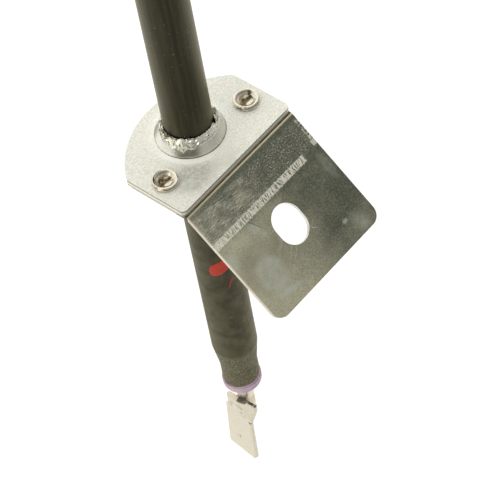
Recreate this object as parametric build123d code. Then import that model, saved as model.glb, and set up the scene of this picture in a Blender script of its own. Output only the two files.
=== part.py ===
from build123d import *
import os
from math import cos, radians, sin

# Flame sensor probe: a glazed ceramic tube on a metal electrode rod, gripped by two riveted
# sheet-metal plates. The lower plate is an L bracket with a slotted leg. Millimetres.
#
# +Z runs along the electrode towards its flame end. The origin is on the probe's axis, where
# the free glazed barrel starts above the packed collar. The bracket leg slopes down to -Y.

# Stack of plates
plate_top_z = -3.5
plate_thickness = 1.15
bracket_thickness = 0.8
plate_width = 26.0
bracket_width = 25.4
front_y = -9.65
side_end_y = 2.0
back_y = 8.55
bracket_back_inset = 0.4
corner_radius = 0.9

# Drawn collar in the upper plate. The plate swells up towards it in a shallow slope, given as
# (radius, height above the plate), and a pressed crease runs round the collar's foot.
swell = [(7.4, 0), (6.7, 0.08), (6.1, 0.24)]
collar_foot_radius = 5.66
collar_foot_height = 0.4
collar_lip_radius = 4.87
collar_height = 2.05
collar_wall = 0.42
pocket_radius = 4.85
pocket_height = 0.95
throat_height = 1.5
crease_width = 0.14
crease_depth = 0.12

# Bracket leg
bend_angle = 41.4
bend_outer_radius = 1.1
bend_start_y = -9.5
leg_length = 21.5
leg_corner_radius = 2.0
slot_width = 5.6
slot_length = 7.0
slot_from_bend = 11.8
slot_x = -0.2

# Tubular rivets
rivet_pitch = 19.7
rivet_y = -3.25
rivet_shank_radius = 1.6
rivet_bore_radius = 1.15
rivet_hole_radius = 1.65
rivet_head_radius = 2.15
rivet_head_height = 0.85
rivet_mouth_radius = 1.45
rivet_roll_radius = 0.3
rivet_foot_height = 0.5

# Ceramic insulator
barrel_radius = 4.0
seat_radius = 3.8
barrel_length = 54.0
barrel_end_round = 0.5
bead_radius = 4.75
bead_height = 1.9
bead_slope = 0.5
flange_hole_radius = 4.25
taper_top_z = plate_top_z - 55.6
taper_bottom_z = plate_top_z - 61.0
neck_radius = 3.3
foot_top_z = plate_top_z - 65.8
foot_bottom_z = plate_top_z - 67.7
foot_radius = 3.48
foot_round = 0.9
bore_radius = 1.65

# Electrode rod, and the cement that seals it into both ends of the bore
rod_radius = 1.5
rod_top_z = 96.5
rod_tip_round = 0.6
rod_bottom_z = plate_top_z - 77.5
cement_depth = 4.0
cement_cap_radius = 2.6
cement_cap_height = 0.7

# Foil packing between the collar and the ceramic
packing_radius = 4.42
packing_flare_radius = 4.8
packing_top_z = -0.25

# Welded quick-connect tab: a foot plate pressed over the rod, then a strip that twists and
# steps sideways into the blade. Places are on the front face, which looks towards -X.
tab_thickness = 0.8
tab_front_offset = 2.1
foot_plate_top_z = plate_top_z - 71.7
foot_plate_bottom_z = plate_top_z - 74.6
foot_plate_width = 6.4
foot_plate_y = -0.6
foot_plate_yaw = 3.4
blade_root_z = plate_top_z - 76.6
blade_length = 11.7
blade_width = 6.3
blade_yaw = -6.8
blade_y = 0.95
blade_lean = 3.1
tip_bevel_length = 0.9
tip_bevel_width = 0.55
tip_thickness = 0.5
weld_swell_radius = 2.5
weld_swell_bottom_z = plate_top_z - 77.2
detent_radius = 0.8
detent_depth = 0.25
detent_across = -0.3
detent_down = 7.4

bead_bottom_z = plate_top_z - plate_thickness
stack_bottom_z = bead_bottom_z - bracket_thickness
from_below = (Align.CENTER, Align.CENTER, Align.MIN)


def revolved(points):
    """A solid of revolution about the probe's axis, from (radius, height) corners."""
    return revolve(Plane.XZ * make_face(Polyline(*points, close=True)), Axis.Z)


def upright_cylinder(radius, bottom_z, top_z, x=0, y=0):
    return Pos(x, y, bottom_z) * Cylinder(radius, top_z - bottom_z, align=from_below)


def rivet_centres():
    return [(-rivet_pitch / 2, rivet_y), (rivet_pitch / 2, rivet_y)]


def rivet_holes():
    """Drilling through both plates, to take away from them."""
    return [
        upright_cylinder(rivet_hole_radius, stack_bottom_z, plate_top_z, x, y)
        for x, y in rivet_centres()
    ]


def plate_blank(width, y_front, back_inset, bottom_z, thickness):
    """A D-shaped plate: straight front and sides, and an arc across the back."""
    half = width / 2
    side_end = side_end_y - back_inset
    outline = [
        Line((-half, side_end), (-half, y_front)),
        Line((-half, y_front), (half, y_front)),
        Line((half, y_front), (half, side_end)),
        ThreePointArc((half, side_end), (0, back_y - back_inset), (-half, side_end)),
    ]
    return extrude(Pos(0, 0, bottom_z) * make_face(outline), thickness)


def ceramic_insulator():
    """One fired piece: the glazed barrel, the hidden bead that the plates trap, and the neck
    with its unglazed rounded foot. The seat under the packing has no glaze on it."""
    bead_top_z = bead_bottom_z + bead_height
    body = revolved(
        [
            (bore_radius, foot_bottom_z),
            (foot_radius, foot_bottom_z),
            (foot_radius, foot_top_z),
            (neck_radius, foot_top_z),
            (neck_radius, taper_bottom_z),
            (barrel_radius, taper_top_z),
            (barrel_radius, stack_bottom_z),
            (seat_radius, stack_bottom_z),
            (seat_radius, bead_bottom_z),
            (bead_radius, bead_bottom_z),
            (bead_radius, bead_top_z - bead_slope),
            (seat_radius, bead_top_z),
            (seat_radius, 0),
            (barrel_radius, 0),
            (barrel_radius, barrel_length),
            (bore_radius, barrel_length),
        ]
    )
    rims = body.edges().filter_by(GeomType.CIRCLE).filter_by(lambda e: e.radius > neck_radius)
    body = fillet(rims.filter_by_position(Axis.Z, foot_bottom_z, foot_bottom_z), foot_round)
    rims = body.edges().filter_by(GeomType.CIRCLE).filter_by(lambda e: e.radius > neck_radius)
    return fillet(rims.filter_by_position(Axis.Z, barrel_length, barrel_length), barrel_end_round)


def electrode_rod():
    """A straight rod right through the bore, rounded at its flame end."""
    rod = upright_cylinder(rod_radius, rod_bottom_z, rod_top_z)
    tip = rod.edges().filter_by_position(Axis.Z, rod_top_z, rod_top_z)
    return fillet(tip, rod_tip_round)


def hot_end_cement():
    """Cement between rod and bore, heaped in a low cone over the end of the ceramic."""
    return revolved(
        [
            (rod_radius, barrel_length - cement_depth),
            (bore_radius, barrel_length - cement_depth),
            (bore_radius, barrel_length),
            (cement_cap_radius, barrel_length),
            (rod_radius, barrel_length + cement_cap_height),
        ]
    )


def terminal_end_cement():
    """Cement between rod and bore, flush with the end of the ceramic's foot."""
    return revolved(
        [
            (rod_radius, foot_bottom_z),
            (bore_radius, foot_bottom_z),
            (bore_radius, foot_bottom_z + cement_depth),
            (rod_radius, foot_bottom_z + cement_depth),
        ]
    )


def collar_plate():
    """The upper plate, with the collar drawn up out of it and a pocket for the bead."""
    plate = plate_blank(plate_width, front_y, 0, bead_bottom_z, plate_thickness)
    plate = fillet(plate.edges().filter_by(Axis.Z).group_by(Axis.Y)[0], corner_radius)
    collar_foot_z = plate_top_z + collar_foot_height
    collar = revolved(
        [
            (0, bead_bottom_z),
            (swell[0][0], bead_bottom_z),
            *[(radius, plate_top_z + height) for radius, height in swell],
            (collar_foot_radius, collar_foot_z),
            (collar_lip_radius, plate_top_z + collar_height),
            (0, plate_top_z + collar_height),
        ]
    )
    throat_radius = collar_lip_radius - collar_wall
    pocket = revolved(
        [
            (0, bead_bottom_z),
            (pocket_radius, bead_bottom_z),
            (pocket_radius, plate_top_z + pocket_height),
            (throat_radius, plate_top_z + throat_height),
            (throat_radius, plate_top_z + collar_height),
            (0, plate_top_z + collar_height),
        ]
    )
    crease = revolved(
        [
            (collar_foot_radius, collar_foot_z - crease_depth),
            (collar_foot_radius + crease_width, collar_foot_z),
            (collar_foot_radius, collar_foot_z),
        ]
    )
    return plate + collar - crease - pocket - rivet_holes()


def foil_packing():
    """The crushed foil ring that wedges the ceramic in the collar and spills over its lip."""
    lip_z = plate_top_z + collar_height
    return revolved(
        [
            (seat_radius, bead_bottom_z + bead_height),
            (packing_radius, bead_bottom_z + bead_height),
            (packing_radius, lip_z),
            (packing_flare_radius, lip_z + 0.1),
            (packing_flare_radius, lip_z + 0.5),
            (seat_radius, packing_top_z),
        ]
    )


def leg_plane():
    """The upper face of the leg, from the end of the bend: y runs down the leg."""
    angle = radians(bend_angle)
    start_y = bend_start_y - bend_outer_radius * sin(angle)
    start_z = bead_bottom_z - bend_outer_radius * (1 - cos(angle))
    return Plane(origin=(0, start_y, start_z), x_dir=(1, 0, 0), z_dir=(0, sin(angle), -cos(angle)))


def bracket_bend():
    """The bend, as a sector of a tube that runs across the bracket."""
    centre = (bend_start_y, bead_bottom_z - bend_outer_radius)
    inner_radius = bend_outer_radius - bracket_thickness
    outer = CenterArc(centre, bend_outer_radius, 90, bend_angle)
    inner = CenterArc(centre, inner_radius, 90, bend_angle)
    ends = [Line(outer @ 0, inner @ 0), Line(outer @ 1, inner @ 1)]
    face = Plane.YZ * make_face([outer, inner, *ends])
    return extrude(face, bracket_width / 2, both=True)


def mounting_bracket():
    """The L bracket: a flange under the collar plate, a bend, and a slotted leg."""
    flange = plate_blank(
        bracket_width, bend_start_y, bracket_back_inset, stack_bottom_z, bracket_thickness
    )
    outline = Pos(0, leg_length / 2) * Rectangle(bracket_width, leg_length)
    outline = fillet(outline.vertices().group_by(Axis.Y)[-1], leg_corner_radius)
    slot = Pos(slot_x, slot_from_bend) * SlotOverall(slot_length, slot_width, rotation=90)
    leg = extrude(leg_plane() * (outline - slot), bracket_thickness)
    ceramic_hole = upright_cylinder(flange_hole_radius, stack_bottom_z, bead_bottom_z)
    return flange + bracket_bend() + leg - ceramic_hole - rivet_holes()


def tubular_rivet(x, y):
    """A hollow rivet: a rolled head on the collar plate and a flat foot under the bracket."""
    head = upright_cylinder(rivet_head_radius, plate_top_z, plate_top_z + rivet_head_height)
    head -= upright_cylinder(rivet_mouth_radius, plate_top_z, plate_top_z + rivet_head_height)
    head = fillet(head.edges().group_by(Axis.Z)[-1], rivet_roll_radius)
    shank = upright_cylinder(
        rivet_shank_radius, stack_bottom_z - rivet_foot_height, plate_top_z + rivet_roll_radius
    )
    foot = upright_cylinder(rivet_head_radius, stack_bottom_z - rivet_foot_height, stack_bottom_z)
    bore = upright_cylinder(
        rivet_bore_radius, stack_bottom_z - rivet_foot_height, plate_top_z + rivet_head_height
    )
    return Pos(x, y) * (head + shank + foot - bore)


def blade_point(down):
    """A point on the blade's front centre line, this far below its root."""
    lean, yaw = radians(blade_lean), radians(blade_yaw)
    outward = tab_front_offset + down * sin(lean)
    return (-outward * cos(yaw), blade_y - outward * sin(yaw) * sin(lean), blade_root_z - down * cos(lean))


def tab_section(origin, yaw, width, thickness):
    """A level slice of the strip, with its front edge through the origin."""
    turn = radians(yaw)
    plane = Plane(origin=origin, x_dir=(sin(turn), -cos(turn), 0), z_dir=(0, 0, 1))
    return plane * Pos(0, tab_thickness / 2) * Rectangle(width, thickness)


def tab_strip():
    """Foot plate, twisted step and blade, lofted straight from slice to slice."""
    foot_x = -tab_front_offset
    stations = [
        ((foot_x, foot_plate_y, foot_plate_top_z), foot_plate_yaw, foot_plate_width),
        ((foot_x, foot_plate_y, foot_plate_bottom_z), foot_plate_yaw, foot_plate_width),
        (blade_point(0), blade_yaw, blade_width),
        (blade_point(blade_length - tip_bevel_length), blade_yaw, blade_width),
    ]
    slices = [tab_section(*station, tab_thickness) for station in stations]
    tip_width = blade_width - 2 * tip_bevel_width
    slices.append(tab_section(blade_point(blade_length), blade_yaw, tip_width, tip_thickness))
    spans = [loft([lower, upper]) for lower, upper in zip(slices, slices[1:])]
    return spans[0].fuse(*spans[1:])


def weld_swell():
    """The half-round swelling where the foot plate is pressed over the end of the rod."""
    barrel = upright_cylinder(weld_swell_radius, weld_swell_bottom_z, foot_plate_top_z)
    swell = barrel + Pos(0, 0, weld_swell_bottom_z) * Sphere(weld_swell_radius)
    in_front = Pos(-tab_front_offset + tab_thickness / 2, 0, blade_root_z) * Box(
        4 * weld_swell_radius,
        4 * weld_swell_radius,
        6 * weld_swell_radius,
        align=(Align.MAX, Align.CENTER, Align.CENTER),
    )
    return swell & in_front


def detent():
    """A shallow ball-shaped dimple for the receptacle's catch, to take away from the blade."""
    ball_radius = (detent_radius**2 + detent_depth**2) / (2 * detent_depth)
    turn = radians(blade_yaw)
    x, y, z = blade_point(detent_down)
    centre = (
        x - (ball_radius - detent_depth) * cos(turn) + detent_across * sin(turn),
        y - (ball_radius - detent_depth) * sin(turn) - detent_across * cos(turn),
        z,
    )
    return Pos(*centre) * Sphere(ball_radius)


def terminal_tab():
    """The quick-connect tab, hollowed behind where it is pressed over the rod."""
    rod = upright_cylinder(rod_radius, rod_bottom_z, foot_plate_top_z)
    return tab_strip() + weld_swell() - rod - detent()


def build_nodes():
    nodes = {
        "ceramic_insulator": ceramic_insulator(),
        "electrode_rod": electrode_rod(),
        "hot_end_cement": hot_end_cement(),
        "terminal_end_cement": terminal_end_cement(),
        "terminal_tab": terminal_tab(),
        "collar_plate": collar_plate(),
        "foil_packing": foil_packing(),
        "mounting_bracket": mounting_bracket(),
    }
    for name, (x, y) in zip(["rivet_left", "rivet_right"], rivet_centres()):
        nodes[name] = tubular_rivet(x, y)
    return nodes


os.makedirs("parts", exist_ok=True)
for node, shape in build_nodes().items():
    export_step(shape, f"parts/{node}.step")
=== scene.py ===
import math
import random

import bmesh
import bpy
from mathutils import Matrix, Vector, noise


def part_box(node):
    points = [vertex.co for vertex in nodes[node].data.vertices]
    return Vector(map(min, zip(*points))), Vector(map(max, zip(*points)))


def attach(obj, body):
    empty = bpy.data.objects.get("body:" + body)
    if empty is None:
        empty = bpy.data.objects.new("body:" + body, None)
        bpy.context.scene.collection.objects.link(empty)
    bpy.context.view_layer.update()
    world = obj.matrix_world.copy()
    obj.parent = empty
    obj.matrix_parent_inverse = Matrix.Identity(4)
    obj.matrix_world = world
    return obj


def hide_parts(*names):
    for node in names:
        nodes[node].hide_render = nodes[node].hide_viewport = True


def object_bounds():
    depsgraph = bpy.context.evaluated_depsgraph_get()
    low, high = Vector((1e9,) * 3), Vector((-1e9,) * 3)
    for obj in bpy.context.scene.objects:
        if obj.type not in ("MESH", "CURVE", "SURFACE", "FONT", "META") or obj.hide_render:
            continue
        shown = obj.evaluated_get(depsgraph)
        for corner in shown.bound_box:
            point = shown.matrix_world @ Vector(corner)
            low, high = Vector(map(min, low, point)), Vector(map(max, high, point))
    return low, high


# Flame sensor probe. Lengths are metres in the part's frame, and mm turns millimetres into them.
# Materials work in millimetres: each one scales the object's own coordinates by 1000.
mm = 0.001
random.seed(608)

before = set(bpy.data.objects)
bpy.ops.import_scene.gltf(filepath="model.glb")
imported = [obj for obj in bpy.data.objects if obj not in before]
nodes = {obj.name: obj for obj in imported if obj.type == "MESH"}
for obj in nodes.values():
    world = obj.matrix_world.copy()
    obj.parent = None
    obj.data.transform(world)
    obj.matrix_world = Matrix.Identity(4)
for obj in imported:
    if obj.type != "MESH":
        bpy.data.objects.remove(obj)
cad_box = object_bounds()

# ---------------------------------------------------------------- places read from the frame
collar_low, collar_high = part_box("collar_plate")
ceramic_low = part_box("ceramic_insulator")[0]
tab_low, tab_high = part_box("terminal_tab")
foil_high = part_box("foil_packing")[1]

collar_height = 2.05 * mm
plate_top = collar_high.z - collar_height
plate_bottom = collar_low.z
collar_foot = 5.66 * mm
collar_foot_height = 0.4 * mm
barrel_radius = 4.0 * mm

# The leg's own axes: u runs across it along +X, v runs down it from the end of the bend.
bend_angle = math.radians(41.4)
bend_radius = 1.1 * mm
front_y = collar_low.y
packing_top = foil_high.z / mm
leg_down = Vector((0, -math.cos(bend_angle), -math.sin(bend_angle)))
leg_normal = Vector((0, -math.sin(bend_angle), math.cos(bend_angle)))
bend_start_y = -9.5 * mm
leg_start = Vector(
    (
        0,
        bend_start_y - bend_radius * math.sin(bend_angle),
        plate_bottom - bend_radius * (1 - math.cos(bend_angle)),
    )
)


# ---------------------------------------------------------------- materials
class Surface:
    """A material being built: a Principled shader, and short calls for the nodes that feed it."""

    def __init__(self, name, **sockets):
        self.material = bpy.data.materials.new(name)
        self.material.use_nodes = True
        self.tree = self.material.node_tree
        self.shader = self.tree.nodes["Principled BSDF"]
        for socket, value in sockets.items():
            self.shader.inputs[socket.replace("_", " ")].default_value = value
        coordinates = self.tree.nodes.new("ShaderNodeTexCoord").outputs["Object"]
        scaled = self.add("ShaderNodeVectorMath", operation="SCALE")
        self.feed(scaled.inputs[0], coordinates)
        self.feed(scaled.inputs["Scale"], 1 / mm)
        self.place = scaled.outputs[0]
        split = self.add("ShaderNodeSeparateXYZ")
        self.feed(split.inputs[0], self.place)
        self.x, self.y, self.z = split.outputs

    def add(self, kind, **settings):
        node = self.tree.nodes.new(kind)
        for key, value in settings.items():
            setattr(node, key, value)
        return node

    def feed(self, socket, value):
        if isinstance(value, bpy.types.NodeSocket):
            self.tree.links.new(value, socket)
        elif socket.type == "RGBA" and len(value) == 3:
            socket.default_value = (*value, 1)
        else:
            socket.default_value = value

    def math(self, operation, a, b=0.0, clamp=False):
        node = self.add("ShaderNodeMath", operation=operation, use_clamp=clamp)
        self.feed(node.inputs[0], a)
        self.feed(node.inputs[1], b)
        return node.outputs[0]

    def plus(self, a, b, clamp=False):
        return self.math("ADD", a, b, clamp)

    def minus(self, a, b):
        return self.math("SUBTRACT", a, b)

    def times(self, first, *others):
        for other in others:
            first = self.math("MULTIPLY", first, other)
        return first

    def most(self, first, *others):
        for other in others:
            first = self.math("MAXIMUM", first, other)
        return first

    def length(self, a, b):
        return self.math("SQRT", self.plus(self.times(a, a), self.times(b, b)))

    def dot(self, direction, origin=(0, 0, 0)):
        """How far a point lies along a direction from an origin, in millimetres."""
        away = self.add("ShaderNodeVectorMath", operation="SUBTRACT")
        self.feed(away.inputs[0], self.place)
        self.feed(away.inputs[1], tuple(c / mm for c in origin))
        node = self.add("ShaderNodeVectorMath", operation="DOT_PRODUCT")
        self.feed(node.inputs[0], away.outputs[0])
        self.feed(node.inputs[1], tuple(direction))
        return node.outputs["Value"]

    def facing(self, direction):
        """1 where the surface faces along a direction or against it, 0 where it stands square."""
        node = self.add("ShaderNodeVectorMath", operation="DOT_PRODUCT")
        self.feed(node.inputs[0], self.add("ShaderNodeNewGeometry").outputs["Normal"])
        self.feed(node.inputs[1], tuple(direction))
        return self.math("ABSOLUTE", node.outputs["Value"])

    def join(self, x, y, z=0.0):
        node = self.add("ShaderNodeCombineXYZ")
        for socket, value in zip(node.inputs, (x, y, z)):
            self.feed(socket, value)
        return node.outputs[0]

    def noise(self, scale, vector=None, detail=3.0, roughness=0.5, stretch=(1, 1, 1)):
        """Noise with this many features to the millimetre, fewer where stretch is below 1."""
        mapping = self.add("ShaderNodeMapping")
        self.feed(mapping.inputs["Vector"], vector or self.place)
        self.feed(mapping.inputs["Scale"], stretch)
        node = self.add("ShaderNodeTexNoise")
        self.feed(node.inputs["Vector"], mapping.outputs[0])
        self.feed(node.inputs["Scale"], scale)
        self.feed(node.inputs["Detail"], detail)
        self.feed(node.inputs["Roughness"], roughness)
        return node.outputs["Fac"]

    def step(self, value, low, high, out_low=0.0, out_high=1.0):
        """Eases from out_low at low to out_high at high."""
        node = self.add("ShaderNodeMapRange", interpolation_type="SMOOTHSTEP")
        for key, number in (
            ("Value", value),
            ("From Min", low),
            ("From Max", high),
            ("To Min", out_low),
            ("To Max", out_high),
        ):
            self.feed(node.inputs[key], number)
        return node.outputs[0]

    def window(self, value, low, high, soft):
        """1 between low and high, falling to 0 over a soft margin outside them."""
        rise = self.step(value, low - soft, low)
        fall = self.step(value, high, high + soft, 1.0, 0.0)
        return self.times(rise, fall)

    def mix(self, factor, a, b, blend="MIX"):
        node = self.add("ShaderNodeMix", data_type="RGBA", blend_type=blend)
        self.feed(node.inputs[0], factor)
        self.feed(node.inputs[6], a)
        self.feed(node.inputs[7], b)
        return node.outputs[2]

    def bump(self, height, distance, strength=1.0):
        """Adds relief: distance is the height in millimetres that a change of 1 stands for."""
        node = self.add("ShaderNodeBump")
        self.feed(node.inputs["Height"], height)
        self.feed(node.inputs["Distance"], distance * mm)
        self.feed(node.inputs["Strength"], strength)
        normal = self.shader.inputs["Normal"]
        if normal.is_linked:
            self.feed(node.inputs["Normal"], normal.links[0].from_socket)
        self.feed(normal, node.outputs[0])

    def colour(self, value):
        self.feed(self.shader.inputs["Base Color"], value)

    def rough(self, value):
        self.feed(self.shader.inputs["Roughness"], value)

    def metal(self, value):
        self.feed(self.shader.inputs["Metallic"], value)


def glazed_ceramic():
    """Brown-black glaze with faint draw streaks, a matt speckled neck and a bare lilac foot."""
    s = Surface("glazed_ceramic", IOR=1.45, Specular_Tint=(1, 0.95, 0.76, 1))
    foot_top = ceramic_low.z / mm + 1.9
    neck_top = ceramic_low.z / mm + 11.6
    mottle = s.noise(0.45, detail=5)
    streaks = s.noise(1.3, detail=4, stretch=(1, 1, 0.05))
    grain = s.noise(6, detail=3, roughness=0.7)
    dark = s.mix(s.step(streaks, 0.35, 0.7), (0.038, 0.035, 0.021), (0.064, 0.058, 0.036))
    lower = s.step(s.z, -34, -12, 1.0, 0.0)
    brown = s.mix(s.step(mottle, 0.35, 0.65), (0.052, 0.048, 0.028), (0.098, 0.089, 0.053))
    glaze = s.mix(lower, dark, brown)
    specks = s.step(s.noise(2.6, detail=1), 0.735, 0.77)
    glaze = s.mix(specks, glaze, (0.20, 0.19, 0.15))
    coarse = s.noise(3.0, detail=2, roughness=0.6)
    neck_colour = s.mix(s.step(coarse, 0.38, 0.62), (0.085, 0.078, 0.043), (0.185, 0.172, 0.104))
    neck_colour = s.mix(s.step(coarse, 0.62, 0.72, 0.0, 0.55), neck_colour, (0.40, 0.37, 0.25))
    wavy_neck = s.plus(s.z, s.times(mottle, 0.8))
    neck = s.step(wavy_neck, neck_top - 0.3, neck_top + 0.6, 1.0, 0.0)
    # painted light: the glaze is made lighter up the slope above the neck, to lift the shade that falls
    # there
    taper_painted_light = s.step(s.z, neck_top, neck_top + 7, 0.35, 0.0)
    glaze = s.mix(taper_painted_light, glaze, (0.11, 0.10, 0.055))
    body = s.mix(neck, glaze, neck_colour)
    lilac = s.mix(s.step(s.noise(0.6), 0.35, 0.65), (0.55, 0.385, 0.53), (0.66, 0.52, 0.63))
    tilted = s.dot((-0.064, 0.077, 1))
    wavy_foot = s.plus(tilted, s.times(s.noise(0.5), 0.5))
    foot = s.step(wavy_foot, foot_top + 0.50, foot_top + 0.68, 1.0, 0.0)
    s.colour(s.mix(foot, body, lilac))
    bare = s.most(foot, s.times(neck, 0.6))
    s.metal(s.step(bare, 0.0, 1.0, 0.6, 0.0))
    glaze_roughness = s.plus(s.step(streaks, 0.3, 0.7, 0.32, 0.39), s.times(lower, 0.12))
    matt = s.most(s.times(neck, 0.62), s.times(foot, 0.75))
    s.rough(s.most(glaze_roughness, matt))
    s.bump(grain, 0.03, 0.4)
    s.bump(coarse, 0.05, 0.5)
    s.bump(mottle, 0.05, 0.3)
    return s.material


def drawn_wire():
    """Heat-resistant wire: fine draw lines along it, straw and brown tints near both ends."""
    s = Surface("drawn_wire", Metallic=1.0)
    lines = s.noise(7, detail=3, stretch=(1, 1, 0.03))
    blotches = s.noise(0.5, detail=4)
    base = s.mix(s.step(lines, 0.35, 0.65), (0.66, 0.62, 0.53), (0.80, 0.76, 0.66))
    flame_end = s.step(s.z, 60, 92)
    straw = s.mix(s.step(blotches, 0.4, 0.6), (0.35, 0.21, 0.10), (0.60, 0.47, 0.30))
    tinted = s.mix(s.times(flame_end, s.step(blotches, 0.35, 0.6)), base, straw)
    weld = tab_high.z / mm
    warm_side = s.step(s.y, -0.6, 0.0, 1.0, 0.0)
    brown = s.times(s.window(s.z, weld - 2.0, weld - 0.4, 0.6), warm_side)
    tinted = s.mix(s.times(brown, 0.45), tinted, (0.50, 0.33, 0.16))
    # a sooty band, partly painted shadow, just above the tab's top edge on the tab's side of the rod
    soot_and_shadow_edge = s.plus(s.z, s.times(blotches, 0.8))
    soot_and_shadow = s.step(soot_and_shadow_edge, weld + 0.45, weld + 0.65, 1.0, 0.0)
    soot_and_shadow = s.times(soot_and_shadow, s.step(s.x, -1.35, -1.05, 0.9, 0.0))
    s.colour(s.mix(soot_and_shadow, tinted, (0.045, 0.045, 0.032)))
    s.rough(s.step(lines, 0.3, 0.7, 0.32, 0.5))
    s.bump(lines, 0.01, 0.4)
    return s.material


def cement():
    """Pale, matt and gritty."""
    s = Surface("cement")
    grain = s.noise(5, detail=5)
    s.colour(s.mix(s.step(grain, 0.35, 0.65), (0.42, 0.38, 0.31), (0.62, 0.58, 0.50)))
    s.rough(s.step(grain, 0.3, 0.7, 0.8, 0.95))
    s.bump(grain, 0.08, 0.8)
    return s.material


def spot(s, u, v, centre, half, soft=0.6, turn=0.0):
    """1 inside a turned ellipse on a surface with coordinates u and v, fading to 0 at its rim."""
    cos, sin = math.cos(turn), math.sin(turn)
    du = s.minus(u, centre[0])
    dv = s.minus(v, centre[1])
    along = s.plus(s.times(du, cos / half[0]), s.times(dv, sin / half[0]))
    aside = s.minus(s.times(dv, cos / half[1]), s.times(du, sin / half[1]))
    return s.step(s.length(along, aside), 1 - soft, 1.0, 1.0, 0.0)


def zinc_plate():
    """Satin zinc over rolled steel: a fine crystal grain, duller clouds near the front, sheared edges
    with a painted highlight band and painted shade at their top, and a drawn collar that is brushed
    round, painted dark at its front with painted highlights on its right, left and lower flank, a
    painted highlight halo round its foot and painted shade at its foot on the near side."""
    s = Surface("zinc_plate")
    grain = s.noise(3.2, detail=3, roughness=0.7)
    clouds = s.noise(0.30, detail=4, roughness=0.65)
    base = s.mix(s.step(grain, 0.35, 0.65), (0.74, 0.75, 0.68), (0.95, 0.96, 0.89))
    front = s.times(s.step(s.y, -8.8, -4.5, 1.0, 0.0), s.step(s.x, -0.5, 5.0, 1.0, 0.0))
    dull = s.times(front, s.step(clouds, 0.42, 0.60))
    worn = s.times(dull, s.step(grain, 0.42, 0.58, 0.0, 0.45))
    base = s.mix(worn, base, (0.42, 0.43, 0.38))

    radius = s.length(s.x, s.y)
    foot = collar_foot / mm
    smudge = spot(s, s.x, s.y, (-6.4, -6.2), (4.8, 3.6), soft=0.7, turn=0.15)
    smudge = s.times(smudge, s.step(radius, foot + 0.7, foot + 1.5))
    smudge = s.times(smudge, s.step(s.noise(1.1, detail=5, roughness=0.7), 0.36, 0.62, 0.22, 0.75))
    base = s.mix(smudge, base, (0.40, 0.41, 0.37))

    # faces that aren't level: the sheared rim and the drawn flank of the collar
    upright = s.step(s.facing((0, 0, 1)), 0.60, 0.96, 1.0, 0.0)
    flank = s.times(upright, s.step(radius, foot - 0.02, foot + 0.02, 1.0, 0.0))
    rim = s.times(upright, s.step(radius, foot + 0.5, foot + 0.6))
    turned = s.noise(4.0, vector=s.join(radius, s.z, s.math("ARCTAN2", s.y, s.x)), detail=3)
    # painted shade: the flank's brushed colour is dark, standing in for the shade on its front; the
    # lines below paint highlights onto it
    drawn = s.mix(s.step(turned, 0.35, 0.65), (0.14, 0.14, 0.105), (0.34, 0.33, 0.27))
    foot_level = (plate_top + collar_foot_height) / mm
    # painted highlight: the lower flank is made lighter
    painted_low_flank_light = s.step(s.z, foot_level + 0.1, foot_level + 0.6, 0.2, 0.0)
    drawn = s.mix(painted_low_flank_light, drawn, (0.90, 0.90, 0.83))
    # painted highlight: the flank is made lighter on its right side
    right = s.math("DIVIDE", s.dot((0.80, -0.60, 0)), radius)
    painted_right_highlight = s.step(right, -0.14, 0.25)
    drawn = s.mix(s.times(painted_right_highlight, 0.8), drawn, (0.87, 0.86, 0.755))
    # painted highlight: a white streak on the left side of the flank
    left = s.math("DIVIDE", s.dot((-0.97, 0.24, 0)), radius)
    painted_left_highlight = s.step(left, 0.80, 0.98)
    drawn = s.mix(painted_left_highlight, drawn, (1.0, 1.0, 0.97))
    base = s.mix(s.times(flank, 0.85), base, drawn)
    top = plate_top / mm
    # painted highlight and shade on the sheared rim: a light band across its lower middle and a dark
    # band along its top edge
    rim_highlight_band = s.window(s.z, top - 0.75, top - 0.35, 0.15)
    sheared = s.mix(rim_highlight_band, (0.50, 0.48, 0.39), (0.86, 0.84, 0.72))
    sheared = s.mix(s.step(s.z, top - 0.22, top - 0.12), sheared, (0.15, 0.135, 0.09))
    base = s.mix(rim, base, sheared)

    # painted highlight: a bright ring on the plate round the collar's foot, strongest at the front left
    halo = s.window(radius, foot + 0.15, foot + 0.75, 0.3)
    front_left = s.math("DIVIDE", s.dot((-0.85, -0.53, 0)), radius)
    halo = s.times(halo, s.step(front_left, 0.6, 0.98, 0.2, 0.9))
    base = s.mix(halo, base, (1.0, 1.0, 0.96))
    # painted shade: a dark line in the angle at the collar's foot, mostly on the near side
    painted_crease_shade = s.window(radius, foot - 0.02, foot + 0.07, 0.03)
    painted_crease_shade = s.times(painted_crease_shade, s.step(s.noise(0.5, detail=3), 0.3, 0.6, 0.3, 0.8))
    near = s.math("DIVIDE", s.dot((-0.35, -0.94, 0)), radius)
    painted_crease_shade = s.times(painted_crease_shade, s.step(near, -0.1, 0.9, 0.2, 1.0))
    s.colour(s.mix(painted_crease_shade, base, (0.10, 0.095, 0.075)))
    lit_flank = s.times(flank, s.most(painted_right_highlight, painted_left_highlight))
    satin = s.most(s.times(rim, 0.6), s.times(lit_flank, 0.55))
    s.metal(s.minus(s.step(upright, 0.0, 1.0, 0.12, 0.9), satin))
    s.rough(s.plus(s.step(clouds, 0.3, 0.7, 0.40, 0.48), s.times(upright, -0.16)))
    s.bump(grain, 0.04, 0.6)
    return s.material


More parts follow.
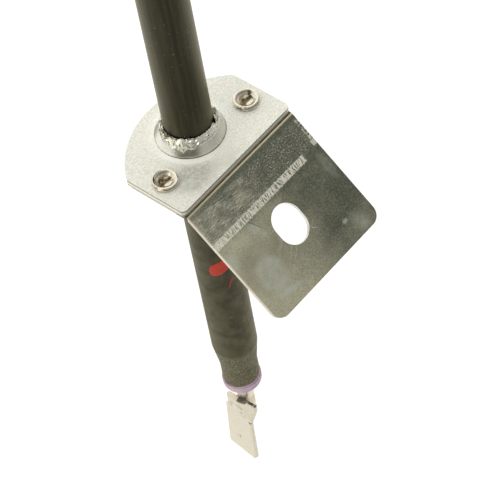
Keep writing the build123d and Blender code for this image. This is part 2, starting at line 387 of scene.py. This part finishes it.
# marks of hands on the leg: centre and half widths in its own axes, softness, turn and strength
hand_marks = [
    ((-8.2, 15.2), (3.3, 3.8), 0.4, 0.0, 0.85),  # thumb
    ((9.6, 19.6), (1.9, 2.8), 0.9, -0.5, 0.7),  # lower right corner
    ((-7.5, 19.0), (3.2, 0.7), 0.6, 0.15, 1.0),  # wiped streak under the thumb
    ((7.25, 17.8), (0.8, 0.5), 0.6, 0.0, 1.0),  # blot
    ((-12.0, 9.5), (1.2, 2.0), 0.6, 0.0, 0.8),  # left edge
    ((-5.2, 8.8), (1.0, 2.4), 0.6, -0.45, 0.8),  # smear beside the slot
    ((11.4, 9.6), (1.1, 3.6), 0.6, 0.0, 0.35),  # right edge
]


def bare_steel():
    """Rolled sheet with the marks of its making: a hatched band where the bending jaw bit, brushed and
    speckled wear between that and the fold, smudges and a few hair scratches; over random clouds its
    colour carries painted reflection and shade."""
    s = Surface("bare_steel")
    u = s.x
    v = s.dot(leg_down, leg_start)
    grain = s.noise(5, detail=4, roughness=0.7)
    clouds = s.noise(0.22, detail=5, roughness=0.6)
    # painted reflection and shade: lighter on the left, darker towards the right and near the fold,
    # lighter again towards the bottom, over random clouds
    painted_shade_and_clouds = s.plus(s.step(u, -12.5, 9.0, 1.0, 0.0), s.times(s.minus(clouds, 0.5), 0.7))
    painted_shade_and_clouds = s.minus(painted_shade_and_clouds, s.step(v, 4.5, 8.0, 0.74, 0.0))
    painted_shade_and_clouds = s.plus(painted_shade_and_clouds, s.step(v, 17.0, 21.0, 0.0, 0.22), clamp=True)
    base = s.mix(painted_shade_and_clouds, (0.175, 0.190, 0.142), (0.71, 0.69, 0.50))
    fine = s.noise(3.6, detail=3, roughness=0.8)
    speckle = s.step(painted_shade_and_clouds, 0.0, 1.0, 0.75, 1.8)
    light_fleck = s.times(s.step(fine, 0.44, 0.64, 0.0, 0.30), speckle)
    base = s.mix(light_fleck, base, (0.80, 0.79, 0.66))
    dark_fleck = s.times(s.step(fine, 0.30, 0.50, 0.20, 0.0), speckle)
    base = s.mix(dark_fleck, base, (0.06, 0.06, 0.045))

    # smudges: a bluish thumb mark in a browner patch, a wiped streak and a few blots
    patch = s.times(spot(s, u, v, (-8.2, 13.4), (6.3, 5.4), soft=0.5), 0.45)
    base = s.mix(patch, base, (0.36, 0.34, 0.24))
    film = 0.0
    for centre, half, soft, turn, strength in hand_marks:
        mark = spot(s, u, v, centre, half, soft=soft, turn=turn)
        film = s.most(film, s.times(mark, strength))
    film = s.times(film, s.step(s.noise(0.8, detail=5, roughness=0.6), 0.32, 0.62, 0.30, 0.85))
    base = s.mix(film, base, (0.65, 0.68, 0.60))
    stain = s.times(spot(s, u, v, (-4.5, 9.3), (0.9, 0.7)), 0.35)
    base = s.mix(stain, base, (0.45, 0.36, 0.26))

    # the jaw's hatched band: short strokes across it, each leaning its own way
    waver = s.noise(0.5, detail=2)
    lean = s.times(s.minus(waver, 0.5), 1.1)
    slanted = s.plus(u, s.times(s.minus(v, 6.6), lean))
    strokes = s.noise(5.6, vector=s.join(slanted, s.times(v, 0.16)), detail=3)
    frayed = s.plus(v, s.times(s.noise(3.5, vector=s.join(u, 0.0), detail=4), 0.7))
    band = s.times(s.window(frayed, 5.88, 7.05, 0.12), s.step(u, 9.0, 9.4, 1.0, 0.0))
    hatch = s.times(band, s.step(strokes, 0.41, 0.50, 0.12, 1.0))

    # wear between the band and the fold: brushed to the left, crumbly to the right
    zone = s.window(v, 1.2, 5.6, 0.9)
    brushed = s.noise(8.0, vector=s.join(s.times(u, 0.09), v), detail=3, roughness=0.7)
    brush = s.times(s.step(brushed, 0.47, 0.58, 0.0, 0.80), s.step(u, -3, 2, 1.0, 0.0))
    crumb_noise = s.noise(3.9, vector=s.join(u, v), detail=5, roughness=0.75)
    crumbs = s.times(s.step(crumb_noise, 0.52, 0.62), s.step(u, -5, 2, 0.55, 1.0))
    worn = s.times(zone, s.most(brush, crumbs))
    worn = s.times(worn, s.step(s.noise(0.5, vector=s.join(u, v), detail=3), 0.35, 0.6, 0.25, 0.8))
    straw = s.times(spot(s, u, v, (-3.6, 3.4), (2.2, 1.6)), 0.45)
    base = s.mix(straw, base, (0.60, 0.56, 0.41))
    left_rim = s.step(u, -12.55, -12.4, 0.6, 0.0)
    base = s.mix(left_rim, base, (0.84, 0.75, 0.63))

    # nicks along the right edge, a hair scratch and a squiggle
    rim = s.times(s.step(u, 11.9, 12.2), s.window(v, 1.0, 4.6, 0.4))
    nicks = s.times(rim, s.step(s.noise(2.4, detail=3), 0.48, 0.56))
    chip = s.times(s.window(u, 11.85, 12.7, 0.1), s.window(v, 4.95, 5.85, 0.1))
    nicks = s.most(nicks, s.times(chip, s.step(grain, 0.3, 0.5, 0.5, 1.0)))
    curl = s.plus(u, s.times(s.math("SINE", s.times(v, 3.1)), 0.5))
    squiggle = s.times(s.window(curl, 2.72, 2.78, 0.05), s.window(v, 14.0, 15.2, 0.2))
    squiggle = s.times(squiggle, 0.6)
    hair = s.minus(s.times(u, 1.9), v)
    hair = s.times(s.window(hair, -17.30, -17.18, 0.08), s.window(v, 6.9, 8.8, 0.2))

    bright = s.most(s.most(hatch, worn), s.most(nicks, squiggle))
    worn_colour = s.mix(bright, base, s.mix(hatch, (0.84, 0.81, 0.68), (0.95, 0.93, 0.82)))
    worn_colour = s.mix(hair, worn_colour, (0.12, 0.13, 0.11))

    # painted shadow in the crevice under the upper plate's edge, and a tan band painted on the bend as a
    # highlight
    crevice = s.window(s.y, front_y / mm - 0.20, front_y / mm + 2, 0.08)
    painted_crevice_shadow = s.times(crevice, s.step(s.noise(1.5, detail=3), 0.3, 0.6, 0.75, 1.0))
    # painted highlight: a tan band where the bend turns into the leg
    painted_bend_highlight = s.window(v, -0.42, -0.22, 0.14)
    worn_colour = s.mix(s.times(painted_bend_highlight, 0.75), worn_colour, (0.60, 0.53, 0.39))
    worn_colour = s.mix(painted_crevice_shadow, worn_colour, (0.075, 0.055, 0.030))

    # the slot's punched wall, cleaner than the faces
    punched = s.step(s.facing(leg_normal), 0.2, 0.5, 1.0, 0.0)
    punched = s.times(punched, s.times(s.window(u, -4.5, 4.0, 0.1), s.window(v, 7.0, 16.5, 0.1)))
    s.colour(s.mix(punched, worn_colour, (0.93, 0.91, 0.85)))

    plain = s.most(s.most(bright, film), s.times(punched, 2.0))
    s.metal(s.minus(s.step(painted_shade_and_clouds, 0.0, 1.0, 0.95, 0.72), s.times(plain, 0.3)))
    s.rough(s.plus(s.step(clouds, 0.3, 0.7, 0.28, 0.38), s.times(bright, 0.22)))
    s.bump(grain, 0.03, 0.5)
    s.bump(bright, 0.04, 0.5)
    return s.material


def plated_tab():
    """Satin nickel plate: a sooty line, partly painted shadow, where it meets the rod, a faint weld
    halo, and painted shade in its catch dimple.
    """
    s = Surface("plated_tab", Metallic=0.55)
    grain = s.noise(3, detail=4)
    base = s.mix(s.step(grain, 0.3, 0.7), (0.66, 0.61, 0.49), (0.76, 0.715, 0.59))
    top = tab_high.z / mm
    torch = s.noise(1.6, detail=3)
    # a dark sooty line along the top where the rod meets it, partly painted shadow under the rod
    on_top = s.step(s.z, top - 0.25, top - 0.05)
    thick = s.times(s.step(s.y, -3.0, -0.7), s.step(s.y, 0.1, 0.35, 1.0, 0.0))
    thick = s.step(s.plus(thick, s.times(s.noise(2.6, detail=3), 2.0)), 1.55, 1.85)
    line = s.times(s.window(s.y, -3.5, 0.1, 0.3), s.step(s.x, -1.80, -1.68))
    line = s.times(line, s.step(torch, 0.38, 0.50, 0.5, 1.0))
    soot_and_shadow = s.times(s.most(thick, line), on_top)
    away = s.join(s.minus(s.y, 0.5), s.minus(s.z, top - 3.2))
    length = s.add("ShaderNodeVectorMath", operation="LENGTH")
    s.feed(length.inputs[0], away)
    ring = s.window(length.outputs["Value"], 1.5, 1.8, 0.35)
    ring = s.times(ring, s.step(s.noise(1.0, detail=4), 0.44, 0.60))
    base = s.mix(s.times(ring, 0.55), base, (0.42, 0.33, 0.20))
    kink = spot(s, s.y, s.z, (-2.25, top - 5.2), (0.45, 0.4))
    base = s.mix(s.times(kink, 0.85), base, (0.06, 0.07, 0.06))
    # painted shade: the catch dimple is darkened so its slope reads darker
    painted_dimple_shade = spot(s, s.y, s.z, (1.35, top - 12.3), (0.8, 0.24), soft=0.7, turn=0.7)
    base = s.mix(s.times(painted_dimple_shade, 0.6), base, (0.25, 0.23, 0.19))
    specks = s.step(s.noise(1.4, detail=2), 0.66, 0.72)
    specks = s.times(specks, s.step(s.z, top - 5.5, top - 4.5))
    base = s.mix(s.times(specks, 0.6), base, (0.30, 0.24, 0.16))
    s.colour(s.mix(s.times(soot_and_shadow, 0.9), base, (0.05, 0.05, 0.035)))
    s.rough(s.step(grain, 0.3, 0.7, 0.38, 0.5))
    s.bump(grain, 0.02, 0.3)
    return s.material


def bright_foil():
    """Aluminium foil: dull in its creases, clean along its smooth band."""
    s = Surface("bright_foil", Metallic=0.8)
    creases = s.noise(2.8, detail=5, roughness=0.65)
    smooth_side = s.step(s.dot((0.26, -0.97, 0)), 2.5, 3.8)
    clean = s.most(s.step(creases, 0.38, 0.52), smooth_side)
    s.colour(s.mix(clean, (0.42, 0.41, 0.37), (0.98, 0.97, 0.89)))
    s.rough(s.step(creases, 0.3, 0.7, 0.18, 0.34))
    s.bump(creases, 0.05, 0.5)
    return s.material


def nickel(rivet_x, rivet_y):
    """Nickel plate on the rivets, with tarnished brown left in the mouths by the punch's oil, deepened
    on their far side as painted shade, and painted shade at each head's foot and groove.
    """
    s = Surface("nickel", Metallic=1.0)
    rub = s.noise(3.5, detail=4)
    base = s.mix(s.step(rub, 0.3, 0.7), (0.62, 0.575, 0.47), (0.84, 0.80, 0.70))
    aside = s.minus(s.math("ABSOLUTE", s.x), rivet_x / mm)
    ahead = s.minus(s.y, rivet_y / mm)
    reach = s.length(aside, ahead)
    mouth = s.step(reach, 1.05, 1.22, 1.0, 0.0)
    patchy = s.step(s.noise(1.5, detail=3), 0.40, 0.54, 0.50, 0.95)
    # tarnish in the mouth, with painted shade: darker on the far side of the mouth and of the funnel
    # round it
    tarnish_and_shade = s.times(s.times(mouth, patchy), s.step(ahead, -0.40, -0.10, 0.05, 1.0))
    painted_funnel_shade = s.times(s.window(reach, 1.45, 1.70, 0.12), s.step(ahead, 0.0, 1.0, 0.0, 0.5))
    base = s.mix(s.most(tarnish_and_shade, painted_funnel_shade), base, (0.19, 0.15, 0.08))
    # painted shade: a dark line at the foot of each head and in the groove of its rolled rim
    painted_head_shade = s.step(s.z, plate_top / mm + 0.06, plate_top / mm + 0.20, 0.75, 0.0)
    rolled = s.window(s.z, plate_top / mm + 0.37, plate_top / mm + 0.47, 0.06)
    painted_head_shade = s.most(painted_head_shade, s.times(rolled, 0.7))
    painted_head_shade = s.times(painted_head_shade, s.step(reach, 1.8, 1.95))
    s.colour(s.mix(painted_head_shade, base, (0.22, 0.17, 0.10)))
    s.rough(s.step(rub, 0.3, 0.7, 0.15, 0.26))
    s.bump(rub, 0.008, 0.4)
    return s.material


def red_paint():
    """A hand-brushed inspection mark: thick, with faint brush lines."""
    s = Surface("red_paint", IOR=1.3)
    brush = s.noise(3, detail=3, stretch=(1, 1, 3))
    s.colour(s.mix(s.step(brush, 0.3, 0.7), (0.57, 0.040, 0.024), (0.70, 0.075, 0.047)))
    s.rough(s.step(brush, 0.3, 0.7, 0.42, 0.6))
    s.bump(brush, 0.04, 0.5)
    return s.material


# ---------------------------------------------------------------- pieces built here
def piece(name, mesh, material, crease_angle=None):
    """Puts a mesh in the scene as part of the object, smooth apart from its creases."""
    mesh.materials.append(material)
    if crease_angle is not None:
        for face in mesh.polygons:
            face.use_smooth = True
        mesh.set_sharp_from_angle(angle=math.radians(crease_angle))
    thing = bpy.data.objects.new(name, mesh)
    bpy.context.scene.collection.objects.link(thing)
    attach(thing, "root")
    return thing


def ring_mesh(name, rings, close_ends=False):
    """Joins closed rings of points, each with as many as the last, by quads."""
    count = len(rings[0])
    points = [point for ring in rings for point in ring]
    faces = []
    for low in range(0, count * (len(rings) - 1), count):
        for i in range(count):
            j = (i + 1) % count
            faces.append((low + i, low + j, low + count + j, low + count + i))
    if close_ends:
        faces.append(tuple(reversed(range(count))))
        faces.append(tuple(range(len(points) - count, len(points))))
    mesh = bpy.data.meshes.new(name)
    mesh.from_pydata(points, [], faces)
    mesh.update()
    return mesh


def between(stations, key):
    """Linear interpolation in a list of (key, value), with the keys rising."""
    if key <= stations[0][0]:
        return stations[0][1]
    for (low, a), (high, b) in zip(stations, stations[1:]):
        if key <= high:
            return a + (b - a) * (key - low) / (high - low)
    return stations[-1][1]


def ease(value, low, high):
    """0 at low and 1 at high, smooth at both ends."""
    t = min(max((value - low) / (high - low), 0), 1)
    return t * t * (3 - 2 * t)


def star_rivet(name, material, turn):
    """A semi-tubular rivet: a rolled head with a groove round it, and a mouth punched in facets."""
    low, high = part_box(name)
    centre = (low + high) / 2
    head = high.z - plate_top
    outer = (high.x - low.x) / 2
    foot = (low.z - plate_top) / mm
    around = 96
    mouth_radius = 1.12
    dent_depth = 0.02
    # (radius, height above the plate), from the blind end of the bore, round the foot, to the mouth
    profile = [
        (0.02, -1.25), (0.60, -1.25), (0.66, -1.35), (0.66, foot + 0.2), (0.81, foot), (1.90, foot),
        (2.13, foot + 0.14), (2.13, foot + 0.36), (1.95, foot + 0.5), (1.60, foot + 0.5), (1.60, -0.02),
        (2.02, 0.0), (2.13, 0.08), (2.15, 0.20), (2.12, 0.30), (2.03, 0.36), (1.98, 0.42), (2.02, 0.50),
        (2.07, 0.58), (2.06, 0.68), (2.00, 0.78), (1.90, 0.82), (1.78, 0.80), (1.66, 0.73), (1.54, 0.64),
        (1.42, 0.55), (1.32, 0.47), (1.22, 0.40), (1.15, 0.34), (1.08, 0.28), (0.96, 0.24),
        (0.82, 0.22), (0.68, 0.20), (0.54, 0.18), (0.40, 0.16), (0.26, 0.12), (0.14, 0.08), (0.02, 0.04),
    ]
    # the punch's faces: the way each one rises in degrees, how steeply, and its height in the middle
    faces = [
        (turn + 268, 0.28, -0.14),
        (turn + 183, 0.60, -0.42),
        (turn + 48, 1.10, -0.45),
        (turn + 138, 0.85, -0.45),
    ]
    rings = []
    seed = Vector((turn, 1.7, 4.1))
    for radius, height in profile:
        ring = []
        for i in range(around):
            angle = math.tau * i / around
            point = Vector((math.cos(angle), math.sin(angle), 0))
            lift, reach = height, radius
            if radius < mouth_radius and height > 0:
                levels = [
                    level + radius * rise * math.cos(angle - math.radians(way))
                    for way, rise, level in faces
                ]
                lift = min(height, max(levels))
            if height > 0:
                dent = noise.noise(point * 1.6 + seed) * dent_depth
                lift += dent
                reach += dent
            reach = min(reach * mm, outer)
            lift = min(lift * mm, head)
            ring.append((centre.x + point.x * reach, centre.y + point.y * reach, plate_top + lift))
        rings.append(ring)
    thing = piece(name + "_star", ring_mesh(name, rings, close_ends=True), material, 24)
    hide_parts(name)


def rounded(distance, radius):
    """How far a rounded edge falls away, at this distance in from it."""
    across = 1 - min(distance / radius, 1)
    return radius * (1 - math.sqrt(max(0, 1 - across**2)))


def twisted_tab(material):
    """The quick-connect tab with its foot plate, swelling over the rod's end, notch and dimple.
    Its blade is drawn up to 0.7 mm wider towards the tip than the solid it replaces."""
    top = tab_high.z / mm
    tip = tab_low.z / mm
    thick = 0.8
    front_offset = 2.1
    foot_yaw, blade_yaw, blade_lean = 3.4, -6.8, 3.1
    twist_top, twist_bottom = 2.9, 5.0
    tip_depth = 16.58
    edge_round, end_round = 0.16, 0.14
    # edges of the strip as (depth below its top, distance towards -Y)
    left = [
        (0, -2.65), (1.7, -2.80), (2.2, -2.55), (twist_top, -2.95),
        (4.3, -3.82), (twist_bottom, -3.92), (16.1, -4.32), (tip_depth, -4.0),
    ]
    right = [(0, 3.60), (2.0, 3.36), (4.4, 2.76), (5.4, 2.46), (15.7, 2.72), (tip_depth, 2.2)]
    across, down = 44, 120
    rings = []
    for row in range(down + 1):
        depth = (top - tip) * row / down
        yaw = math.radians(foot_yaw + (blade_yaw - foot_yaw) * ease(depth, twist_top, twist_bottom))
        lean = max(depth - 4.9, 0) * math.sin(math.radians(blade_lean))
        half = thick / 2 * (1 - 0.38 * ease(depth, 15.6, tip_depth))
        low, high = between(left, depth), between(right, depth)
        ring = []
        for side in (1, -1):
            for i in range(across):
                share = i / (across - 1)
                reach = low + (high - low) * (share if side > 0 else 1 - share)
                edge = min(reach - low, high - reach)
                end = min(depth, (top - tip) - depth)
                out = half - max(rounded(edge, edge_round), rounded(end, end_round))
                if side > 0:
                    ridge = max(0.0, 1 - (reach / 2.1) ** 2) ** 1.5
                    out += 0.42 * ridge * (1 - ease(depth + 0.5 * reach * reach, 3.2, 6.2))
                    # a shallow dimple for the receptacle's catch, turned by 20 degrees
                    slash = Vector((reach + 1.35, depth - 12.3))
                    slash = Vector((slash.x * 0.94 - slash.y * 0.34, slash.x * 0.34 + slash.y * 0.94))
                    out -= 0.30 * math.exp(-((slash.x / 0.80) ** 2 + (slash.y / 0.30) ** 2))
                out += 0.03 * noise.noise(Vector((reach, depth, side * 3)) * 0.8)
                x = -(front_offset - thick / 2 + lean) * math.cos(yaw)
                lifted = 0.045 * (reach + 4.3) * ease(depth, 12, tip_depth)
                place = Vector((x, -reach, top - depth + lifted)) * mm
                normal = Vector((-math.cos(yaw), -math.sin(yaw), 0)) * (out * side * mm)
                pivot = 0.6 if depth < twist_top else 0.95
                place.x += math.sin(yaw) * (reach + pivot) * mm
                ring.append(place + normal)
        rings.append(ring)
    mesh = ring_mesh("terminal_tab_strip", rings, close_ends=True)
    thing = piece("terminal_tab_strip", mesh, material, 50)
    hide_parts("terminal_tab")


def crushed_foil(material):
    """The packing as crushed foil: flat facets and sharp folds, piled and spilling over the lip
    at the front left, a narrow turned band at the right, torn where it stands free of the tube."""
    lip_z = collar_high.z / mm
    around, rows = 96, 7
    lip_reach = 4.86
    sliver_reach = 4.7
    tube_gap = 0.03
    tube_side = barrel_radius / mm + tube_gap
    flank = 0.75 / (collar_height / mm)

    def share(angle, low, high, soft):
        return ease(angle, low - soft, low) * (1 - ease(angle, high, high + soft))

    rings = []
    for row in range(rows):
        t = row / (rows - 1)
        inside = 0 < row < rows - 1
        ring = []
        for i in range(around):
            degrees = 360 * (i + random.uniform(-0.35, 0.35)) / around
            pile = share(degrees, 172, 224, 14)
            smooth = share(degrees, 246, 318, 10)
            heap = share(degrees, 208, 318, 22)
            spread = t + (random.uniform(-0.4, 0.4) / (rows - 1) if inside else 0)
            aim = Vector((math.cos(math.radians(degrees)), math.sin(math.radians(degrees)), 0))
            spill = pile * (0.24 + 0.34 * noise.noise(aim * 7.0 + Vector((0, 0, 3))))
            outer = lip_reach + spill - 0.24 * smooth
            radius = tube_side + (outer - tube_side) * spread
            level = lip_z + 0.08 + 0.32 * math.sin(math.pi * min(spread * 1.3, 1))
            level += (pile * 0.40 + heap * 0.55) * (1 - spread)
            turned = lip_z + 0.14 + 0.95 * (1 - spread) + 0.10 * math.sin(degrees * 0.9)
            level += (turned - level) * smooth
            crush = 0.32 - 0.26 * smooth
            level += random.uniform(-crush, crush) * (1.0 if inside else 0.35 - 0.25 * smooth)
            if radius > lip_reach:
                level = min(level, lip_z + 0.20) - (radius - lip_reach) / flank * 0.8
            level = min(level, packing_top)
            jitter = random.uniform(-tube_gap, tube_gap)
            radius = max(radius + jitter, tube_side - tube_gap / 2)
            ring.append((aim * radius + Vector((0, 0, level))) * mm)
        rings.append(ring)
    mesh = ring_mesh("foil_crushed", rings)
    work = bmesh.new()
    work.from_mesh(mesh)
    bmesh.ops.triangulate(work, faces=work.faces)
    torn = []
    for face in work.faces:
        middle = face.calc_center_median() / mm
        degrees = math.degrees(math.atan2(middle.y, middle.x)) % 360
        free = share(degrees, 300, 350, 12) + share(degrees, 120, 166, 12)
        if noise.noise(middle * 1.5) + 0.25 * noise.noise(middle * 5) > 0.60 - 0.47 * free:
            torn.append(face)
    bmesh.ops.delete(work, geom=torn, context="FACES")

    # slivers torn up from the free edges round the tube, each still joined along its root:
    # the degrees between which they stand, and how many there are
    for start, stop, count in ((128, 178, 24), (178, 245, 18), (296, 345, 20)):
        roots = []
        for edge in work.edges:
            middle = (edge.verts[0].co + edge.verts[1].co) / (2 * mm)
            degrees = math.degrees(math.atan2(middle.y, middle.x)) % 360
            if edge.is_boundary and start < degrees < stop and middle.xy.length < sliver_reach:
                roots.append(edge)
        for edge in random.sample(roots, min(count, len(roots))):
            first, second = (vertex.co / mm for vertex in edge.verts)
            aim = Vector((first.x, first.y, 0)).normalized()
            sway = Vector((-aim.y, aim.x, 0)) * random.uniform(-0.3, 0.3)
            tilt = aim * random.uniform(0.0, 0.2)
            tall = min(random.uniform(0.3, 1.0), packing_top - max(first.z, second.z))
            shoulder = work.verts.new((second + (sway + tilt) * 0.6 + Vector((0, 0, tall * 0.7))) * mm)
            tip = work.verts.new((first + sway + tilt + Vector((0, 0, tall))) * mm)
            work.faces.new((edge.verts[0], edge.verts[1], shoulder))
            work.faces.new((edge.verts[0], shoulder, tip))
    work.to_mesh(mesh)
    work.free()
    thing = piece("foil_crushed", mesh, material)
    skin = thing.modifiers.new("skin", "SOLIDIFY")
    skin.solidify_mode = "NON_MANIFOLD"
    skin.thickness = 0.03 * mm
    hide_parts("foil_packing")


def paint_patch(name, outline, material):
    """A thin skin of paint on the barrel, from an outline of (degrees round it, height in mm)."""
    work = bmesh.new()
    steps = 8
    fine = []
    for (a0, z0), (a1, z1) in zip(outline, outline[1:] + outline[:1]):
        for k in range(steps):
            fine.append((a0 + (a1 - a0) * k / steps, z0 + (z1 - z0) * k / steps))
    rim = []
    for degrees, z in fine:
        wobble = noise.noise(Vector((degrees * 0.25, z * 2.5, 1)))
        rim.append((degrees + wobble * 1.2, z + wobble * 0.10))
    middle = (sum(a for a, z in rim) / len(rim), sum(z for a, z in rim) / len(rim))
    loops = []
    # how much of the outline each loop spans, and how far it stands off the barrel
    for share, lift in ((1.0, 0.004), (0.985, 0.03), (0.93, 0.05), (0.7, 0.055), (0.35, 0.055)):
        loop = []
        for degrees, z in rim:
            angle = math.radians(middle[0] + (degrees - middle[0]) * share)
            height = middle[1] + (z - middle[1]) * share
            reach = barrel_radius / mm + lift
            point = Vector((math.cos(angle) * reach, math.sin(angle) * reach, height)) * mm
            loop.append(work.verts.new(point))
        loops.append(loop)
    for low, high in zip(loops, loops[1:]):
        for i in range(len(rim)):
            j = (i + 1) % len(rim)
            work.faces.new((low[i], low[j], high[j], high[i]))
    work.faces.new(loops[-1])
    work.faces.new(list(reversed(loops[0])))
    bmesh.ops.triangulate(work, faces=[f for f in work.faces if len(f.verts) > 4])
    bmesh.ops.recalc_face_normals(work, faces=work.faces)
    mesh = bpy.data.meshes.new(name)
    work.to_mesh(mesh)
    work.free()
    piece(name, mesh, material, 60)


# ---------------------------------------------------------------- CAD nodes keep their shapes
weld_distance = 0.002 * mm
sharp_angle = math.radians(40)


def finish_node(name, material, edge_radius=0.0):
    """Gives a CAD node its material, and breaks its sharp edges as tumbling does."""
    node = nodes[name]
    node.material_slots[0].material = material
    if edge_radius:
        weld = node.modifiers.new("weld", "WELD")
        weld.merge_threshold = weld_distance
        bevel = node.modifiers.new("edges", "BEVEL")
        bevel.width = edge_radius
        bevel.segments = 3
        bevel.limit_method = "ANGLE"
        bevel.angle_limit = sharp_angle
        bevel.harden_normals = True


finish_node("ceramic_insulator", glazed_ceramic())
finish_node("electrode_rod", drawn_wire())
cement_material = cement()
finish_node("hot_end_cement", cement_material)
finish_node("terminal_end_cement", cement_material)
finish_node("collar_plate", zinc_plate(), 0.12 * mm)
finish_node("mounting_bracket", bare_steel(), 0.08 * mm)

twisted_tab(plated_tab())
crushed_foil(bright_foil())
rivet_low, rivet_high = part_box("rivet_right")
rivet_centre = (rivet_low + rivet_high) / 2
nickel_material = nickel(rivet_centre.x, rivet_centre.y)
star_rivet("rivet_left", nickel_material, 0)
star_rivet("rivet_right", nickel_material, 14)
paint_material = red_paint()
dab = [
    (204.5, -33.9), (209, -33.0), (222, -32.4), (238, -31.9), (256, -32.3), (258, -33.9),
    (250, -34.5), (234, -35.2), (219, -35.6), (208, -35.5), (204.5, -34.8),
]
paint_patch("paint_dab", dab, paint_material)
streak = [(255.0, -37.2), (257, -37.1), (249.0, -38.3), (244.2, -39.6), (243.4, -39.6), (247.4, -38.1)]
paint_patch("paint_streak", streak, paint_material)


# ---------------------------------------------------------------- floor, lights and camera
def floor():
    """A white sheet that glows under and behind the probe, greyer in front and far from it."""
    half = 3.0
    level = cad_box[0][2] - 0.2 * mm
    corners = [(-half, -half, level), (half, -half, level), (half, half, level), (-half, half, level)]
    mesh = bpy.data.meshes.new("floor")
    mesh.from_pydata(corners, [], [(0, 1, 2, 3)])
    plane = bpy.data.objects.new("floor", mesh)
    bpy.context.scene.collection.objects.link(plane)
    s = Surface("floor_white", Roughness=0.9)
    s.colour((0.30, 0.30, 0.30))
    radius = s.length(s.x, s.y)
    s.feed(s.shader.inputs["Emission Color"], (1, 1, 1))
    glow = s.step(radius, 160, 420, 0.82, 0.25)
    near = s.dot((-0.67, -0.74, 0))
    s.feed(s.shader.inputs["Emission Strength"], s.times(glow, s.step(near, 14, 60, 1.0, 0.25)))
    mesh.materials.append(s.material)


def soft_box(name, place, target, width, height, power):
    """A warm rectangular lamp that points from its place at a target."""
    light = bpy.data.lights.new(name, "AREA")
    light.shape = "RECTANGLE"
    light.size = width
    light.size_y = height
    light.energy = power
    light.color = (1.0, 0.95, 0.82)
    lamp = bpy.data.objects.new(name, light)
    bpy.context.scene.collection.objects.link(lamp)
    lamp.location = place
    lamp.rotation_euler = (Vector(target) - Vector(place)).to_track_quat("-Z", "Y").to_euler()


def studio(bright_from, low, high):
    """Surroundings that fade from bright behind and above the probe to dim on the near side."""
    surroundings = bpy.data.worlds.new("studio")
    surroundings.use_nodes = True
    tree = surroundings.node_tree
    direction = tree.nodes.new("ShaderNodeTexCoord").outputs["Generated"]
    towards = tree.nodes.new("ShaderNodeVectorMath")
    towards.operation = "DOT_PRODUCT"
    tree.links.new(direction, towards.inputs[0])
    towards.inputs[1].default_value = Vector(bright_from).normalized()
    fade = tree.nodes.new("ShaderNodeMapRange")
    fade.interpolation_type = "SMOOTHSTEP"
    tree.links.new(towards.outputs["Value"], fade.inputs["Value"])
    for key, value in (("From Min", 0.15), ("From Max", 0.85), ("To Min", low), ("To Max", high)):
        fade.inputs[key].default_value = value
    background = tree.nodes["Background"]
    background.inputs["Color"].default_value = (1.0, 0.985, 0.935, 1)
    tree.links.new(fade.outputs[0], background.inputs["Strength"])
    bpy.context.scene.world = surroundings


def camera():
    """Looks down at the plates over the left front corner, turned a little on its own axis."""
    aim = Vector((-6.20, -15.35, -15.74)) * mm
    distance = 405 * mm
    heading = math.radians(41.762)
    tilt = math.radians(51.745)
    roll = math.radians(-11.003)
    level = Vector((math.sin(heading), math.cos(heading), 0))
    forward = level * math.cos(tilt) - Vector((0, 0, math.sin(tilt)))
    right = forward.cross(Vector((0, 0, 1))).normalized()
    up = right.cross(forward)
    right, up = (
        right * math.cos(roll) + up * math.sin(roll),
        up * math.cos(roll) - right * math.sin(roll),
    )
    data = bpy.data.cameras.new("camera")
    data.sensor_width = 36
    data.lens = 186.795
    data.clip_start = 0.01
    data.clip_end = 20
    body = bpy.data.objects.new("camera", data)
    bpy.context.scene.collection.objects.link(body)
    turn = Matrix((right, up, -forward)).transposed().to_4x4()
    body.matrix_world = Matrix.Translation(aim - forward * distance) @ turn
    bpy.context.scene.camera = body


floor()
studio((0.35, 0.55, 0.76), 0.30, 1.30)
soft_box("left", (-0.55, 0.05, 0.25), (0, 0, -0.02), 0.4, 0.4, 1.2)
camera()
bpy.context.scene.view_settings.view_transform = "Standard"
bpy.context.scene.view_settings.look = "None"
